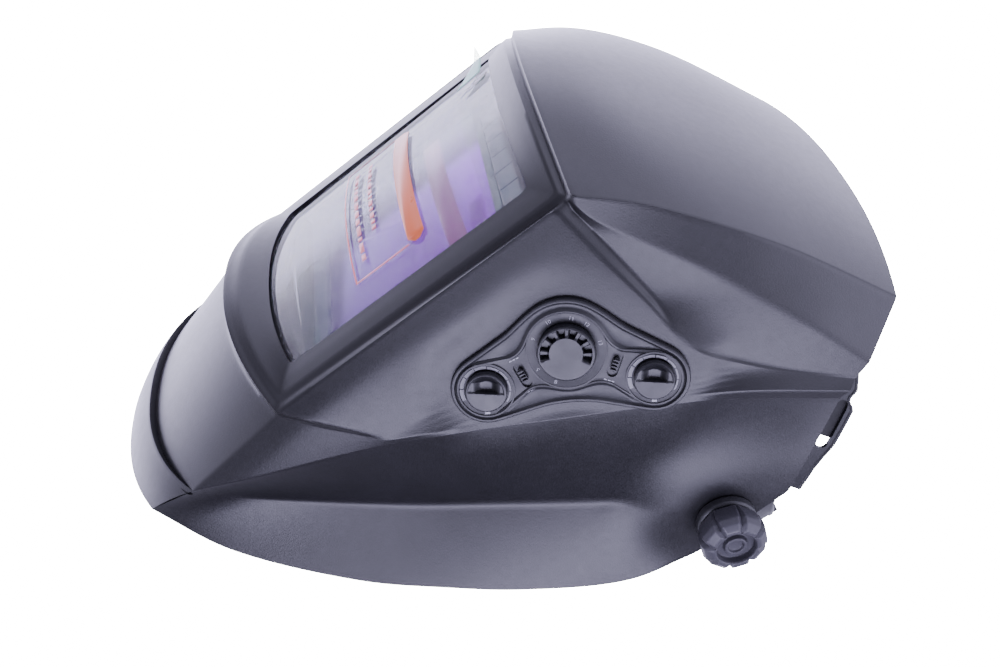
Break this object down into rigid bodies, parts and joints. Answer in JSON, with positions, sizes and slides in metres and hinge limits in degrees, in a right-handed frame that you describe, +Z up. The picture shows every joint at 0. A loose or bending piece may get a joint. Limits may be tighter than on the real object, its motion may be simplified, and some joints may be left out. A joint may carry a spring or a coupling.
{
  "type": "welding helmet",
  "caption": "Auto-darkening welding helmet: tilting black face shell with lens window, side control dials and a ratchet headband.",
  "frame": {"origin": "middle of the axis the face shell tilts about, between the wearer's temples", "axes": "+Z up on the wearer, -Y forwards through the window, +X to the wearer's left, the side with the dials; shell fully down at rest"},
  "size_m": [0.26, 0.277, 0.3277],
  "materials": {
    "shell_nylon": "fine-grained moulded nylon",
    "black_plastic": "satin moulded",
    "knob_plastic": "semi-gloss moulded",
    "rubber": "matt",
    "cartridge_plastic": "satin",
    "clear_lens": "clear polycarbonate",
    "filter_glass": "coated, purple and green tint",
    "solar_cell": "dark glossy cell",
    "sensor_dome": "dark translucent",
    "circuit_board": "solder mask",
    "ribbon": "flat cable",
    "foam": "terry-faced foam",
    "steel": "zinc plated"
  },
  "bodies": {
    "headgear": {"headband": "black_plastic", "sweatband": "foam", "rear_band_left": "black_plastic", "rear_band_right": "black_plastic", "crown_strap_left": "black_plastic", "crown_strap_right": "black_plastic", "crown_peg": "knob_plastic", "slide_rail_left": "black_plastic", "slide_rail_right": "black_plastic", "rail_rivet_left_1": "steel", "rail_rivet_left_2": "steel", "rail_rivet_right_1": "steel", "rail_rivet_right_2": "steel", "ratchet_housing": "black_plastic", "ratchet_cover": "black_plastic", "detent_spring": "steel", "nape_pad": "foam"},
    "pivot_carriage": {"pivot_slider_left": "black_plastic", "pivot_slider_right": "black_plastic", "pivot_bolt_left": "steel", "pivot_bolt_right": "steel", "stop_plate_left": "steel", "stop_plate_right": "steel"},
    "shell": {"helmet_shell": "shell_nylon", "lens_gasket": "rubber", "outer_lens": "clear_lens", "lens_frame": "black_plastic", "filter_case": "cartridge_plastic", "filter_glass": "filter_glass", "solar_cell": "solar_cell", "arc_sensor_1": "sensor_dome", "arc_sensor_2": "sensor_dome", "sensor_board": "circuit_board", "filter_cover": "cartridge_plastic", "inner_lens": "clear_lens", "control_plate": "black_plastic", "control_box": "black_plastic", "control_board": "circuit_board", "shade_potentiometer": "steel", "sensitivity_potentiometer": "steel", "delay_potentiometer": "steel", "ribbon_cable": "ribbon", "friction_washer_left": "rubber", "friction_washer_right": "rubber", "stop_block_left": "black_plastic", "stop_block_right": "black_plastic", "knob_collar_left": "black_plastic", "knob_collar_right": "black_plastic"},
    "tension_knob_left": {"tension_knob_left": "knob_plastic"},
    "tension_knob_right": {"tension_knob_right": "knob_plastic"},
    "shade_knob": {"shade_knob": "knob_plastic"},
    "sensitivity_knob": {"sensitivity_knob": "knob_plastic"},
    "delay_knob": {"delay_knob": "knob_plastic"},
    "mode_switch": {"mode_switch": "knob_plastic"},
    "range_switch": {"range_switch": "knob_plastic"},
    "ratchet_knob": {"ratchet_knob": "knob_plastic", "ratchet_pinion": "black_plastic"},
    "size_rack_left": {"size_rack_left": "black_plastic"},
    "size_rack_right": {"size_rack_right": "black_plastic"}
  },
  "joints": [
    {"name": "depth_slide", "type": "slide", "parent": "headgear", "child": "pivot_carriage", "axis": [0, 1, 0], "range_m": [-0.008, 0.008]},
    {"name": "shell_tilt", "type": "hinge", "parent": "pivot_carriage", "child": "shell", "pos_m": [0, 0, 0], "axis": [-1, 0, 0], "range_deg": [0, 88]},
    {"name": "tension_left", "type": "hinge", "parent": "pivot_carriage", "child": "tension_knob_left", "pos_m": [0.1115, 0, 0], "axis": [1, 0, 0], "range_deg": [-180, 180]},
    {"name": "tension_right", "type": "hinge", "parent": "pivot_carriage", "child": "tension_knob_right", "pos_m": [-0.1115, 0, 0], "axis": [-1, 0, 0], "range_deg": [-180, 180]},
    {"name": "shade_turn", "type": "hinge", "parent": "shell", "child": "shade_knob", "pos_m": [0.09256, -0.10413, -0.0027], "axis": [0.9439, -0.3304, 0], "range_deg": [-140, 140]},
    {"name": "sensitivity_turn", "type": "hinge", "parent": "shell", "child": "sensitivity_knob", "pos_m": [0.09081, -0.10913, -0.0378], "axis": [0.9439, -0.3304, 0], "range_deg": [-135, 135]},
    {"name": "delay_turn", "type": "hinge", "parent": "shell", "child": "delay_knob", "pos_m": [0.10221, -0.07657, 0.0176], "axis": [0.9439, -0.3304, 0], "range_deg": [-135, 135]},
    {"name": "mode_slide", "type": "slide", "parent": "shell", "child": "mode_switch", "axis": [0.3266, 0.9333, -0.1493], "range_m": [-0.002, 0.002]},
    {"name": "range_slide", "type": "slide", "parent": "shell", "child": "range_switch", "axis": [-0.1886, -0.5388, 0.8211], "range_m": [-0.002, 0.002]},
    {"name": "ratchet_turn", "type": "hinge", "parent": "headgear", "child": "ratchet_knob", "pos_m": [0, 0.088, -0.014], "axis": [0, 1, 0], "range_deg": [-115, 115]},
    {"name": "rack_left_slide", "type": "slide", "parent": "headgear", "child": "size_rack_left", "axis": [1, 0, 0], "range_m": [-0.0136, 0.0136]},
    {"name": "rack_right_slide", "type": "slide", "parent": "headgear", "child": "size_rack_right", "axis": [-1, 0, 0], "range_m": [-0.0136, 0.0136]}
  ],
  "couplings": [
    {"joint": "rack_left_slide", "follows": "ratchet_turn", "m_per_rad": 0.0065},
    {"joint": "rack_right_slide", "follows": "ratchet_turn", "m_per_rad": 0.0065}
  ]
}
